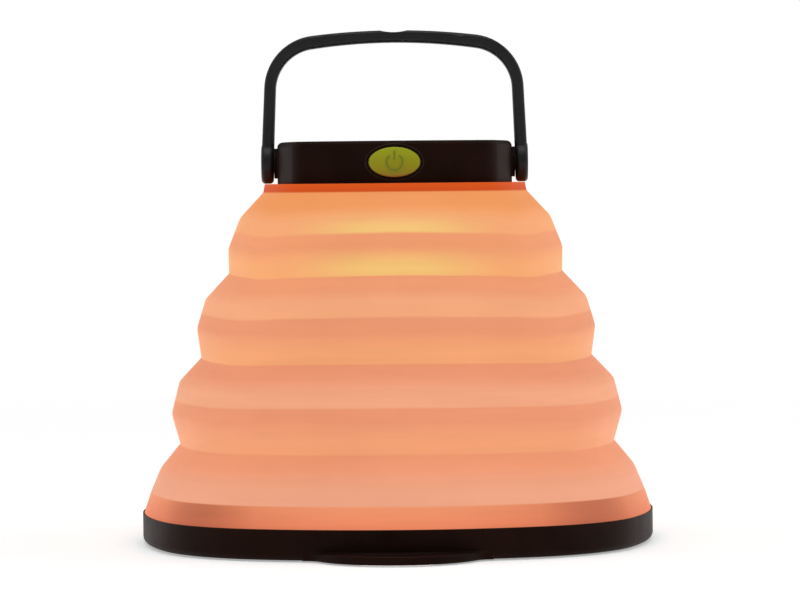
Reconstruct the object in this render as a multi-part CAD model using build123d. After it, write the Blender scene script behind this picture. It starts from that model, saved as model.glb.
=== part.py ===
from build123d import *
import math
import os

# Collapsible camping lantern, in millimetres. +Z is up and -Y is the front.
# The origin is the centre of the base, on the surface that the lantern stands on.

# Plan shape. Every square part follows one rounded outline, offset inwards:
# four long side arcs joined by four corner arcs that share fixed centres.
BASE_HALF = 63.5
SIDE_RADIUS = 95.6
CORNER_RADIUS = 40.0

# Base tray
TRAY_BOTTOM = 0.3
TRAY_TOP = 7.65
TRAY_WALL = 2.0
TRAY_FLOOR_TOP = 2.3
TRAY_EDGE = 1.6
LEDGE_TOP = 3.9
LEDGE_HALF = 60.0
SCREW_POST_RADIUS = 3.0
COUNTERBORE_DEPTH = 1.8

# Lanyard loop on the tray's front edge
LOOP_REACH = 10.5
LOOP_HALF_WIDTH = 18.5
LOOP_THICKNESS = 2.0
LOOP_RIM = 2.5
LOOP_ROOT = 4.0
LOOP_EDGE = 0.4
LOOP_EDGE_START = 1.5
SLOT_HALF_WIDTH = 8.4
SLOT_INNER_GAP = 2.2
SLOT_CORNER = 1.4

# Shade: each pleat has a sloping shoulder, a steep facet and a facet that leans in.
SHADE_BOTTOM = TRAY_TOP
SHADE_FOOT_HALF = 63.1
BEAD_TOP = 12.5
BEAD_HALF = 61.5
PLEAT_BENDS = ((18.4, 59.0), (40.0, 54.1), (60.4, 47.4), (80.5, 38.6))
PLEAT_VALLEYS = ((24.5, 54.0), (45.8, 48.6), (66.7, 41.5))
PLEAT_CRESTS = ((32.0, 56.1), (53.2, 49.6), (72.9, 41.6))
NECK_Z = 86.7
NECK_HALF = 32.8
SHADE_TOP = 88.5
SHADE_TOP_HALF = 32.4
NECK_WALL_START = 86.1
NECK_WALL = 1.8
SHOULDER_WALL = 0.9
CREST_WALL = 1.5
BEAD_WALL = 2.6
WALL_STEP_HEIGHT = 0.3
WALL_STEP_BELOW_BEND = 3.9
TOP_FLANGE_THICKNESS = 1.3
TOP_FLANGE_HALF = 24.0
TOP_FLANGE_NOTCH_RADIUS = 3.0
FOOT_TONGUE_INNER_HALF = 59.9
FOOT_FLANGE_HALF = 54.0
FOOT_FLANGE_TOP = 4.9
FLANGE_HOLE_CLEAR = 0.3

# Clamp ring and reflector inside the base
CLAMP_RING_HALF = 58.5
CLAMP_RING_INNER_HALF = 53.4
CLAMP_THICKNESS = 1.5
CLAMP_BOSS_RADIUS = 2.6
CLAMP_BOSS_HEIGHT = 1.2
CLAMP_BORE_ABOVE = 0.8
REFLECTOR_HALF = 50.6
REFLECTOR_RIM_WIDTH = 1.2
REFLECTOR_THICKNESS = 0.8
REFLECTOR_HEIGHT = 1.8

# Cap
CAP_BOTTOM = 88.8
CAP_TOP = 99.1
CAP_HALF = 29.2
CAP_WALL = 1.6
CAP_EDGE = 1.3
CAP_ROOF_BOTTOM = 96.2
PANEL_POCKET_BOTTOM = 97.3
PANEL_POCKET_HALF = 26.4
PANEL_GAP = 0.1
PANEL_THICKNESS = 0.8
WINDOW_BELOW_TOP = 0.15
WINDOW_EDGE = 0.2
CHASSIS_THICKNESS = 1.2
CHASSIS_OPENING_RADIUS = 4.0
CLAMP_PLATE_HALF = 30.0
CLAMP_GAP = 0.3
SCREW_SPOT = 17.5
CAP_POST_RADIUS = 2.4
CAP_PILOT_DEPTH = 4.3
SEAL_GROOVE = 89.1
SEAL_WIDTH = 0.6

# Carrying handle
PIVOT_Z = 93.9
BOSS_RADIUS = 3.75
BOSS_FACE = 29.95
BOSS_INNER = 25.2
PEG_RADIUS = 2.0
PEG_BORE_RADIUS = 2.05
PEG_END = 25.4
PEG_OVERLAP = 0.5
HANDLE_DEPTH = 6.0
HANDLE_EYE_RADIUS = 5.0
HANDLE_OUTER_HALF = 33.15
HANDLE_OUTER_LEAN = 2.75
HANDLE_OUTER_TOP = 32.85
HANDLE_OUTER_CROWN = 170.0
HANDLE_OUTER_CORNER = 13.5
HANDLE_THICKNESS = 3.0
HANDLE_INNER_LEAN = 2.25
HANDLE_INNER_CROWN = 140.0
HANDLE_INNER_CORNER = 10.5
HANDLE_EDGE = 0.9
SADDLE_WIDTH = 7.0
SADDLE_DEPTH = 0.5

# Power button and its switch
BUTTON_WIDTH = 12.5
BUTTON_HEIGHT = 7.3
BUTTON_GAP = 0.12
BUTTON_PROUD = 0.3
BUTTON_DEPTH = 1.8
BUTTON_EDGE = 0.45
LUG_WIDTH = 15.1
LUG_HEIGHT = 3.4
LUG_CORNER = 0.8
NECK_WIDTH = 10.1
LUG_FRONT = -27.0
LUG_THICKNESS = 0.6
RECESS_RIM = 0.75
RECESS_DEPTH = 0.45
SYMBOL_RADIUS = 2.2
SYMBOL_STROKE = 0.55
SYMBOL_HEIGHT = 0.15
SYMBOL_OPENING = 35.0
SYMBOL_BAR_LENGTH = 2.4
SYMBOL_BAR_DROP = 0.6
PLUNGER_RADIUS = 0.9
PLUNGER_CLEAR = 0.08
PLUNGER_END = -22.6
SWITCH_SIZE = (6.0, 3.6, 4.2)
SWITCH_Y = -22.2
SWITCH_BORE_END = -21.4
SEAL_Y = -25.6
SEAL_THICKNESS = 0.4
SEAL_SHEET = 18.0
SEAL_HOLE_CLEAR = 0.2

# Charging port at the back
PORT_Z = 92.6
SOCKET_WIDTH = 8.9
SOCKET_HEIGHT = 3.2
SOCKET_LENGTH = 7.3
SOCKET_WALL = 0.3
SOCKET_CORNER = 1.2
SOCKET_BACK = 0.8
SOCKET_BEHIND_FLAP = 0.7
MOUTH_CLEAR = 0.2
TONGUE_WIDTH = 6.4
TONGUE_THICKNESS = 0.7
TONGUE_SETBACK = 0.7
FLAP_WIDTH = 14.0
FLAP_HEIGHT = 5.6
FLAP_THICKNESS = 0.9
FLAP_GAP = 0.15
HINGE_Z = 90.05
HINGE_HALF_LENGTH = 4.2
HINGE_GROOVE_HALF_LENGTH = 6.2
HINGE_GROOVE_RADIUS = 0.75
PULL_WIDTH = 3.4
PULL_HEIGHT = 0.8
PULL_BELOW_EDGE = 1.2
PULL_PROUD = 0.25

# Light source
LENS_RADIUS = 15.0
LENS_FLANGE_RADIUS = 17.0
LENS_BOTTOM = 83.4
LENS_WALL = 1.3
LENS_FLANGE_THICKNESS = 0.9
LENS_CLEAR = 0.2
LED_COUNT = 6
LED_CIRCLE = 8.0
LED_START_ANGLE = 30.0
LED_SIZE = 3.0
LED_BOTTOM_ABOVE_CLAMP = 0.1
LED_THICKNESS = 0.8
LED_BOARD_INSET = 0.6
LED_BOARD_HOLE = 0.6

# Fasteners
BASE_SCREW_SPOT = (54.0, 22.0)
SCREW_RADIUS = 1.2
SCREW_HEAD_RADIUS = 2.1
SCREW_HEAD = 1.2
SCREW_CLEAR = 0.15
CROSS_LENGTH = 2.2
CROSS_WIDTH = 0.5
CROSS_DEPTH = 0.6
BASE_SCREW_REACH = 2.2
CAP_SCREW_REACH = 4.2

# Feet
FOOT_SPOT = 41.0
FOOT_RADIUS = 5.5
FOOT_HEIGHT = 1.3
FOOT_EDGE = 0.25

# Internal boards, cell and leads
BOARD_THICKNESS = 1.0
BOARD_HALF = 24.8
BOARD_POST_RADIUS = 2.8
# x, y, width, depth and height of the charger, the driver and the two connectors
CHIPS = (
    (-9.5, -19.5, 5.0, 4.0, 1.0),
    (8.5, -19.0, 4.0, 4.0, 1.6),
    (-10.5, 18.5, 4.4, 3.0, 1.2),
    (10.5, 18.5, 4.4, 3.0, 1.2),
)
CELL_LENGTH = 34.0
CELL_WIDTH = 27.0
CELL_THICKNESS = 3.4
CELL_EDGE = 1.0
PAD_INSET = 4.0
PAD_THICKNESS = 0.4
LEAD_RADIUS = 0.4
LEAD_BEND = 1.2
LEAD_OUT = 3.0
LEAD_SPREAD = 3.0
LEAD_HOLE_CLEAR = 0.3
BOARD_HOLE_RADIUS = 0.5
CELL_LEAD_SPREAD = 2.0
SOLAR_LEAD_Y = 21.0
SOLAR_LEAD_BEND_Z = 95.1
SOLAR_LEAD_BOARD_Y = 17.6
LED_LEAD_START = 0.7
LED_LEAD_ABOVE_BOARD = 0.5

# Cutting shapes start outside the wall and reach in through it.
OUTSIDE = 2.0
INSIDE = 3.0
# A rounded rectangle needs a corner radius just under half its height.
ROUND_MARGIN = 0.01

SIDE_CENTRE = SIDE_RADIUS - BASE_HALF
CENTRE_GAP = SIDE_RADIUS - CORNER_RADIUS
CORNER_CENTRE = (math.sqrt(2 * CENTRE_GAP**2 - SIDE_CENTRE**2) - SIDE_CENTRE) / 2
CHASSIS_TOP = CAP_BOTTOM + CHASSIS_THICKNESS
BOARD_TOP = CHASSIS_TOP + BOARD_THICKNESS
CLAMP_TOP = SHADE_TOP - TOP_FLANGE_THICKNESS - CLAMP_GAP
CLAMP_BOTTOM = CLAMP_TOP - CLAMP_THICKNESS
PANEL_TOP = PANEL_POCKET_BOTTOM + PANEL_THICKNESS
SOCKET_MOUTH_Y = CAP_HALF - FLAP_THICKNESS - SOCKET_BEHIND_FLAP


def outline(half, z=0.0):
    """Face of the rounded plan shape, half-width half, at height z."""
    inset = BASE_HALF - half
    side = SIDE_RADIUS - inset
    corner = CORNER_RADIUS - inset
    reach = CORNER_CENTRE + SIDE_CENTRE
    join_angle = math.atan2(CORNER_CENTRE, reach)
    near = CORNER_CENTRE + corner * math.sin(join_angle)
    far = CORNER_CENTRE + corner * math.cos(join_angle)
    tip = CORNER_CENTRE + corner / math.sqrt(2)
    edges = []
    for turn in range(4):
        side_arc = ThreePointArc((far, -near), (half, 0), (far, near))
        corner_arc = ThreePointArc((far, near), (tip, tip), (near, far))
        edges.append(side_arc.rotate(Axis.Z, 90 * turn))
        edges.append(corner_arc.rotate(Axis.Z, 90 * turn))
    return make_face(Wire(edges)).moved(Location((0, 0, z)))


def slab(half, z0, z1):
    """Solid with the plan shape between two heights."""
    return extrude(outline(half, z0), z1 - z0)


def ring(outer, inner, z0, z1):
    return slab(outer, z0, z1) - slab(inner, z0, z1)


def tube(x, y, z0, z1, radius):
    """Upright cylinder."""
    return Pos(x, y, (z0 + z1) / 2) * Cylinder(radius, z1 - z0)


def block(x, y, z, dx, dy, dz):
    """Box from its centre and size."""
    return Pos(x, y, z) * Box(dx, dy, dz)


def along_y(sketch, y0, y1):
    """Extrudes an XZ sketch, drawn at the origin, from y0 to y1. Its local Y is world Z."""
    lifted = Plane(origin=(0, y1, 0), x_dir=(1, 0, 0), z_dir=(0, -1, 0)) * sketch
    return extrude(lifted, y1 - y0, dir=(0, -1, 0))


def corners(distance):
    """Four spots on the diagonals."""
    return [(x * distance, y * distance) for x in (-1, 1) for y in (-1, 1)]


def base_screw_spots():
    """Two screws on each side of the base."""
    across, along = BASE_SCREW_SPOT
    spots = []
    for turn in range(4):
        for side in (-1, 1):
            spot = Vector(across, side * along, 0).rotate(Axis.Z, 90 * turn)
            spots.append((spot.X, spot.Y))
    return spots


def stack(profile):
    """Solid through the plan shape at each (height, half-width) of a profile."""
    return loft([outline(half, z) for z, half in profile], ruled=True)


def shade_outer_profile():
    """Outside of the shade, from the foot up: bend, valley and crest repeat."""
    points = [(SHADE_BOTTOM, SHADE_FOOT_HALF), (BEAD_TOP, BEAD_HALF)]
    for i, bend in enumerate(PLEAT_BENDS):
        points.append(bend)
        if i < len(PLEAT_VALLEYS):
            points.append(PLEAT_VALLEYS[i])
            points.append(PLEAT_CRESTS[i])
    points.append((NECK_Z, NECK_HALF))
    points.append((SHADE_TOP, SHADE_TOP_HALF))
    return points


def width_at(profile, z):
    """Half-width of a profile at a height."""
    for low, high in zip(profile, profile[1:]):
        if low[0] <= z <= high[0]:
            share = (z - low[0]) / (high[0] - low[0])
            return low[1] + share * (high[1] - low[1])
    raise ValueError(z)


def shade_inner_profile():
    """Inside of the shade. Crest rings are thicker than shoulders, with a small step between them."""
    outer = shade_outer_profile()
    half_step = WALL_STEP_HEIGHT / 2
    levels = [
        (SHADE_BOTTOM, BEAD_WALL),
        (BEAD_TOP - WALL_STEP_HEIGHT, BEAD_WALL),
        (BEAD_TOP, CREST_WALL),
        (PLEAT_BENDS[0][0], SHOULDER_WALL),
    ]
    for valley, crest, bend in zip(PLEAT_VALLEYS, PLEAT_CRESTS, PLEAT_BENDS[1:]):
        step = bend[0] - WALL_STEP_BELOW_BEND
        levels.append((valley[0], CREST_WALL))
        levels.append((crest[0], CREST_WALL))
        levels.append((step - half_step, CREST_WALL))
        levels.append((step + half_step, SHOULDER_WALL))
        levels.append((bend[0], SHOULDER_WALL))
    levels.append((NECK_WALL_START, CREST_WALL))
    levels.append((SHADE_TOP - TOP_FLANGE_THICKNESS, NECK_WALL))
    return [(z, width_at(outer, z) - wall) for z, wall in levels]


def bellows():
    """Shade shell with a flange at the top, and a tongue and flange that reach down into the tray."""
    shell = stack(shade_outer_profile()) - stack(shade_inner_profile())
    shell -= slab(TOP_FLANGE_HALF, SHADE_TOP - TOP_FLANGE_THICKNESS, SHADE_TOP)
    for x, y in corners(SCREW_SPOT):
        shell -= tube(x, y, SHADE_TOP - TOP_FLANGE_THICKNESS, SHADE_TOP, TOP_FLANGE_NOTCH_RADIUS)
    tongue_half = BASE_HALF - TRAY_WALL
    shell += ring(tongue_half, FOOT_TONGUE_INNER_HALF, LEDGE_TOP, SHADE_BOTTOM)
    shell += ring(tongue_half, FOOT_FLANGE_HALF, LEDGE_TOP, FOOT_FLANGE_TOP)
    for x, y in base_screw_spots():
        shell -= tube(x, y, LEDGE_TOP, FOOT_FLANGE_TOP, SCREW_RADIUS + FLANGE_HOLE_CLEAR)
    return shell


def lanyard_loop():
    """Crescent loop that blends into the tray's edge, with a slot that follows its front."""
    front = -BASE_HALF
    bow_radius = (LOOP_HALF_WIDTH**2 + LOOP_REACH**2) / (2 * LOOP_REACH)
    bow_centre = front - LOOP_REACH + bow_radius
    plan = outline(BASE_HALF) + Pos(0, bow_centre) * Circle(bow_radius)
    roots = [v for v in plan.vertices() if v.Y < front + LOOP_ROOT]
    plan = fillet(roots, LOOP_ROOT)
    plan &= Pos(0, front) * Rectangle(2 * LOOP_HALF_WIDTH + 2 * LOOP_ROOT, 4 * LOOP_REACH)
    plan -= outline(BASE_HALF - TRAY_EDGE)
    hole = Pos(0, bow_centre) * Circle(bow_radius - LOOP_RIM)
    slot_middle = front - SLOT_INNER_GAP - LOOP_REACH / 2
    hole &= Pos(0, slot_middle) * Rectangle(2 * SLOT_HALF_WIDTH, LOOP_REACH)
    hole = fillet(hole.vertices(), SLOT_CORNER)
    loop = extrude(plan - hole, LOOP_THICKNESS)
    levels = loop.edges().group_by(Axis.Z)
    rims = [e for e in levels[0] + levels[-1] if e.center().Y < front - LOOP_EDGE_START]
    loop = fillet(rims, LOOP_EDGE)
    return loop.moved(Location((0, 0, TRAY_BOTTOM)))


def base_tray():
    """Tray with a ledge for the shade's foot, screw posts, foot seats and the lanyard loop."""
    tray = slab(BASE_HALF, TRAY_BOTTOM, TRAY_TOP)
    tray = fillet(tray.edges().group_by(Axis.Z)[0], TRAY_EDGE)
    tray += lanyard_loop()
    tray -= slab(BASE_HALF - TRAY_WALL, TRAY_FLOOR_TOP, TRAY_TOP)
    tray += ring(BASE_HALF - TRAY_WALL, LEDGE_HALF, TRAY_FLOOR_TOP, LEDGE_TOP)
    for x, y in base_screw_spots():
        tray += tube(x, y, TRAY_FLOOR_TOP, LEDGE_TOP, SCREW_POST_RADIUS)
    for x, y in base_screw_spots():
        tray -= tube(x, y, TRAY_BOTTOM, LEDGE_TOP, SCREW_RADIUS + SCREW_CLEAR)
        counterbore_top = TRAY_BOTTOM + COUNTERBORE_DEPTH
        tray -= tube(x, y, TRAY_BOTTOM, counterbore_top, SCREW_HEAD_RADIUS + SCREW_CLEAR)
    for x, y in corners(FOOT_SPOT):
        tray -= tube(x, y, TRAY_BOTTOM, FOOT_HEIGHT, FOOT_RADIUS)
    return tray


def lower_clamp_ring():
    """Ring on the shade's flange, with a blind boss for each screw, low enough for the folded shade."""
    bottom = FOOT_FLANGE_TOP
    top = bottom + CLAMP_THICKNESS
    clamp = ring(CLAMP_RING_HALF, CLAMP_RING_INNER_HALF, bottom, top)
    for x, y in base_screw_spots():
        clamp += tube(x, y, bottom, top + CLAMP_BOSS_HEIGHT, CLAMP_BOSS_RADIUS)
        clamp -= tube(x, y, bottom, top + CLAMP_BORE_ABOVE, SCREW_RADIUS)
    return clamp


def reflector_plate():
    """Thin tray floor with a low raised rim, clear of the screw bosses."""
    rim_top = TRAY_FLOOR_TOP + REFLECTOR_HEIGHT
    plate = slab(REFLECTOR_HALF, TRAY_FLOOR_TOP, rim_top)
    return plate - slab(REFLECTOR_HALF - REFLECTOR_RIM_WIDTH, TRAY_FLOOR_TOP + REFLECTOR_THICKNESS, rim_top)


def screw(x, y, head_bottom, tip):
    """Pan-head screw, head down, with a cross recess."""
    shank = tube(x, y, head_bottom, tip, SCREW_RADIUS)
    head = tube(x, y, head_bottom, head_bottom + SCREW_HEAD, SCREW_HEAD_RADIUS)
    cross = Box(CROSS_LENGTH, CROSS_WIDTH, 2 * CROSS_DEPTH) + Box(CROSS_WIDTH, CROSS_LENGTH, 2 * CROSS_DEPTH)
    return shank + head - cross.moved(Location((x, y, head_bottom)))


def base_screws():
    """Eight screws from below, through tray and shade into the clamp ring."""
    head_bottom = TRAY_BOTTOM + COUNTERBORE_DEPTH - SCREW_HEAD
    tip = FOOT_FLANGE_TOP + BASE_SCREW_REACH
    return Compound([screw(x, y, head_bottom, tip) for x, y in base_screw_spots()])


def rubber_foot(x, y):
    """Round pad with a softened lower edge."""
    foot = tube(x, y, 0, FOOT_HEIGHT, FOOT_RADIUS)
    return fillet(foot.edges().group_by(Axis.Z)[0], FOOT_EDGE)


def upper_clamp_plate():
    """Plate under the shade's top flange, with posts that pass through it to the chassis."""
    plate = slab(CLAMP_PLATE_HALF, CLAMP_BOTTOM, CLAMP_TOP)
    plate -= tube(0, 0, CLAMP_BOTTOM, CLAMP_TOP, LENS_RADIUS + LENS_CLEAR)
    for x, y in corners(SCREW_SPOT):
        plate += tube(x, y, CLAMP_TOP, CAP_BOTTOM, CLAMP_BOSS_RADIUS)
        plate -= tube(x, y, CLAMP_BOTTOM, CAP_BOTTOM, SCREW_RADIUS + SCREW_CLEAR)
    return plate


def cap_base_plate():
    """Chassis with a seal groove round its edge."""
    half = CAP_HALF - CAP_WALL
    plate = slab(half, CAP_BOTTOM, CHASSIS_TOP)
    plate -= ring(half, half - SEAL_WIDTH, SEAL_GROOVE, SEAL_GROOVE + SEAL_WIDTH)
    plate -= tube(0, 0, CAP_BOTTOM, CHASSIS_TOP, CHASSIS_OPENING_RADIUS)
    for x, y in corners(SCREW_SPOT):
        plate -= tube(x, y, CAP_BOTTOM, CHASSIS_TOP, SCREW_RADIUS + SCREW_CLEAR)
    return plate


def cap_screws():
    """Four screws from below, through clamp plate and chassis into the cap's posts."""
    head_bottom = CLAMP_BOTTOM - SCREW_HEAD
    tip = CHASSIS_TOP + CAP_SCREW_REACH
    return Compound([screw(x, y, head_bottom, tip) for x, y in corners(SCREW_SPOT)])


def cap_seal():
    """Gasket that fills the chassis groove."""
    half = CAP_HALF - CAP_WALL
    return ring(half, half - SEAL_WIDTH, SEAL_GROOVE, SEAL_GROOVE + SEAL_WIDTH)


def oval(width, height):
    return Ellipse(width / 2, height / 2)


def flap_shape(grow=0.0):
    width = FLAP_WIDTH + 2 * grow
    height = FLAP_HEIGHT + 2 * grow
    return RectangleRounded(width, height, height / 2 - ROUND_MARGIN)


def cap_housing():
    """Hollow cap with pivot bosses, screw posts, a panel pocket and its button and port openings."""
    cap = slab(CAP_HALF, CAP_BOTTOM, CAP_TOP)
    cap = fillet(cap.edges().group_by(Axis.Z)[-1], CAP_EDGE)
    for side in (-1, 1):
        length = BOSS_FACE - BOSS_INNER
        centre = side * (BOSS_FACE + BOSS_INNER) / 2
        cap += Pos(centre, 0, PIVOT_Z) * Rot(0, 90, 0) * Cylinder(BOSS_RADIUS, length)
    hollow = slab(CAP_HALF - CAP_WALL, CAP_BOTTOM, CAP_ROOF_BOTTOM)
    for side in (-1, 1):
        length = CAP_HALF - BOSS_INNER
        centre = side * (CAP_HALF + BOSS_INNER) / 2
        hollow -= Pos(centre, 0, PIVOT_Z) * Rot(0, 90, 0) * Cylinder(BOSS_RADIUS, length)
    cap -= hollow
    cap -= slab(PANEL_POCKET_HALF, PANEL_POCKET_BOTTOM, CAP_TOP)
    cap -= Pos(0, 0, PIVOT_Z) * Rot(0, 90, 0) * Cylinder(PEG_BORE_RADIUS, 2 * BOSS_FACE)
    for x, y in corners(SCREW_SPOT):
        cap += tube(x, y, CHASSIS_TOP, CAP_ROOF_BOTTOM, CAP_POST_RADIUS)
        cap -= tube(x, y, CHASSIS_TOP, CHASSIS_TOP + CAP_PILOT_DEPTH, SCREW_RADIUS)
    lead_hole = LEAD_RADIUS + LEAD_HOLE_CLEAR
    for x in (-LEAD_SPREAD, LEAD_SPREAD):
        cap -= tube(x, SOLAR_LEAD_Y, CAP_ROOF_BOTTOM, PANEL_POCKET_BOTTOM, lead_hole)
    return cap - button_recess() - port_recess()


def button_recess():
    """Through hole for the key, and a shallow ring round it that follows the wall."""
    hole = Pos(0, PIVOT_Z) * oval(BUTTON_WIDTH + 2 * BUTTON_GAP, BUTTON_HEIGHT + 2 * BUTTON_GAP)
    rim = Pos(0, PIVOT_Z) * oval(BUTTON_WIDTH + 2 * RECESS_RIM, BUTTON_HEIGHT + 2 * RECESS_RIM)
    through = along_y(hole, -CAP_HALF - OUTSIDE, -CAP_HALF + INSIDE)
    sunk = along_y(rim, -CAP_HALF - OUTSIDE, -CAP_HALF + INSIDE)
    return through + (sunk - slab(CAP_HALF - RECESS_DEPTH, CAP_BOTTOM, CAP_TOP))


def hinge_rod(radius, half_length):
    """Cylinder on the flap's hinge axis, which runs along its lower edge."""
    rod = Rot(0, 90, 0) * Cylinder(radius, 2 * half_length)
    return Pos(0, CAP_HALF - FLAP_THICKNESS / 2, HINGE_Z) * rod


def port_recess():
    """Socket mouth, and a seat for the flap and its hinge bead that follows the wall."""
    mouth = Pos(0, PORT_Z) * RectangleRounded(
        SOCKET_WIDTH + 2 * MOUTH_CLEAR, SOCKET_HEIGHT + 2 * MOUTH_CLEAR, SOCKET_CORNER
    )
    seat = Pos(0, PORT_Z) * flap_shape(FLAP_GAP)
    through = along_y(mouth, CAP_HALF - INSIDE, CAP_HALF + OUTSIDE)
    sunk = along_y(seat, CAP_HALF - INSIDE, CAP_HALF + OUTSIDE)
    seat_space = sunk - slab(CAP_HALF - FLAP_THICKNESS, CAP_BOTTOM, CAP_TOP)
    return through + seat_space + hinge_rod(HINGE_GROOVE_RADIUS, HINGE_GROOVE_HALF_LENGTH)


def power_symbol():
    """Open ring with an upright bar in its gap."""
    band = Circle(SYMBOL_RADIUS) - Circle(SYMBOL_RADIUS - SYMBOL_STROKE)
    reach = 2 * SYMBOL_RADIUS
    spread = reach * math.tan(math.radians(SYMBOL_OPENING))
    gap = make_face(Polyline((0, 0), (spread, reach), (-spread, reach), close=True))
    bar = RectangleRounded(SYMBOL_STROKE, SYMBOL_BAR_LENGTH, SYMBOL_STROKE / 2 - ROUND_MARGIN)
    return band - gap + Pos(0, SYMBOL_RADIUS - SYMBOL_BAR_DROP) * bar


def power_button():
    """Oval key that follows the wall, with a raised symbol and a wide lug behind the wall."""
    back_y = -CAP_HALF - BUTTON_PROUD + BUTTON_DEPTH
    key = along_y(Pos(0, PIVOT_Z) * oval(BUTTON_WIDTH, BUTTON_HEIGHT), -CAP_HALF - OUTSIDE, back_y)
    key &= slab(CAP_HALF + BUTTON_PROUD, CAP_BOTTOM, CAP_TOP)
    key = fillet(key.edges().group_by(Axis.Y)[0], BUTTON_EDGE)
    symbol = along_y(Pos(0, PIVOT_Z) * power_symbol(), -CAP_HALF - OUTSIDE, -CAP_HALF)
    key += symbol & slab(CAP_HALF + BUTTON_PROUD + SYMBOL_HEIGHT, CAP_BOTTOM, CAP_TOP)
    neck = Pos(0, PIVOT_Z) * RectangleRounded(NECK_WIDTH, LUG_HEIGHT, LUG_CORNER)
    lug = Pos(0, PIVOT_Z) * RectangleRounded(LUG_WIDTH, LUG_HEIGHT, LUG_CORNER)
    key += along_y(neck, back_y, LUG_FRONT)
    return key + along_y(lug, LUG_FRONT, LUG_FRONT + LUG_THICKNESS)


def button_seal():
    """Membrane held between chassis and roof behind the button, with a hole for the plunger."""
    height = CAP_ROOF_BOTTOM - CHASSIS_TOP
    middle = (CAP_ROOF_BOTTOM + CHASSIS_TOP) / 2
    sheet = Pos(0, middle) * Rectangle(SEAL_SHEET, height)
    hole = Pos(0, PIVOT_Z) * Circle(PLUNGER_RADIUS + SEAL_HOLE_CLEAR)
    return along_y(sheet - hole, SEAL_Y, SEAL_Y + SEAL_THICKNESS)


def switch_plunger():
    """Round pin from the key's lug into the switch body."""
    start = LUG_FRONT + LUG_THICKNESS
    return along_y(Pos(0, PIVOT_Z) * Circle(PLUNGER_RADIUS), start, PLUNGER_END)


def power_switch():
    """Side-push switch body, with a bore that the plunger slides in."""
    width, depth, height = SWITCH_SIZE
    body = block(0, SWITCH_Y, BOARD_TOP + height / 2, width, depth, height)
    bore = Pos(0, PIVOT_Z) * Circle(PLUNGER_RADIUS + PLUNGER_CLEAR)
    return body - along_y(bore, SWITCH_Y - depth, SWITCH_BORE_END)


def led_lens():
    """Opal diffuser: flange, short wall and domed face, hollow above."""
    flange_top = CLAMP_TOP + LENS_FLANGE_THICKNESS
    rise = CLAMP_BOTTOM - LENS_BOTTOM
    outer = tube(0, 0, CLAMP_TOP, flange_top, LENS_FLANGE_RADIUS)
    outer += tube(0, 0, CLAMP_BOTTOM, CLAMP_TOP, LENS_RADIUS)
    outer += dome(LENS_RADIUS, rise, CLAMP_BOTTOM)
    inner = tube(0, 0, CLAMP_BOTTOM, flange_top, LENS_RADIUS - LENS_WALL)
    inner += dome(LENS_RADIUS - LENS_WALL, rise - LENS_WALL / 2, CLAMP_BOTTOM)
    return outer - inner


def dome(radius, depth, z):
    """Shallow spherical cap that hangs below height z."""
    ball = (radius**2 + depth**2) / (2 * depth)
    sphere = Pos(0, 0, z - depth + ball) * Sphere(ball)
    return sphere & tube(0, 0, z - 2 * depth, z, radius)


def led_board():
    """Round board above the lens flange, with two holes for its leads."""
    bottom = CLAMP_TOP + LENS_FLANGE_THICKNESS
    board = tube(0, 0, bottom, CAP_BOTTOM, LENS_FLANGE_RADIUS - LED_BOARD_INSET)
    for x in (-LEAD_SPREAD, LEAD_SPREAD):
        board -= tube(x, 0, bottom, CAP_BOTTOM, LED_BOARD_HOLE)
    return board


def led_chips():
    """Light sources on a circle, under the board."""
    z = CLAMP_TOP + LED_BOTTOM_ABOVE_CLAMP + LED_THICKNESS / 2
    chips = []
    for i in range(LED_COUNT):
        angle = LED_START_ANGLE + 360 / LED_COUNT * i
        chip = block(LED_CIRCLE, 0, z, LED_SIZE, LED_SIZE, LED_THICKNESS)
        chips.append(chip.rotate(Axis.Z, angle))
    return Compound(chips)


def main_board():
    """Circuit board with holes for the lamp's leads and for the cap's posts."""
    board = slab(BOARD_HALF, CHASSIS_TOP, BOARD_TOP)
    for x in (-LEAD_SPREAD, LEAD_SPREAD):
        board -= tube(x, 0, CHASSIS_TOP, BOARD_TOP, BOARD_HOLE_RADIUS)
    for x, y in corners(SCREW_SPOT):
        board -= tube(x, y, CHASSIS_TOP, BOARD_TOP, BOARD_POST_RADIUS)
    return board


def board_chips():
    """Charger, driver and connectors round the cell."""
    chips = []
    for x, y, width, depth, height in CHIPS:
        chips.append(block(x, y, BOARD_TOP + height / 2, width, depth, height))
    return Compound(chips)


def charging_socket():
    """Folded metal shell, open towards the back."""
    inner_end = SOCKET_MOUTH_Y - SOCKET_LENGTH
    outside = Pos(0, PORT_Z) * RectangleRounded(SOCKET_WIDTH, SOCKET_HEIGHT, SOCKET_CORNER)
    inside = Pos(0, PORT_Z) * RectangleRounded(
        SOCKET_WIDTH - 2 * SOCKET_WALL, SOCKET_HEIGHT - 2 * SOCKET_WALL, SOCKET_CORNER - SOCKET_WALL
    )
    shell = along_y(outside, inner_end, SOCKET_MOUTH_Y)
    return shell - along_y(inside, inner_end + SOCKET_BACK, SOCKET_MOUTH_Y)


def socket_tongue():
    """Contact tongue from the socket's back wall to just inside its mouth."""
    outer_end = SOCKET_MOUTH_Y - TONGUE_SETBACK
    inner_end = SOCKET_MOUTH_Y - SOCKET_LENGTH + SOCKET_BACK
    middle = (inner_end + outer_end) / 2
    return block(0, middle, PORT_Z, TONGUE_WIDTH, outer_end - inner_end, TONGUE_THICKNESS)


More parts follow.
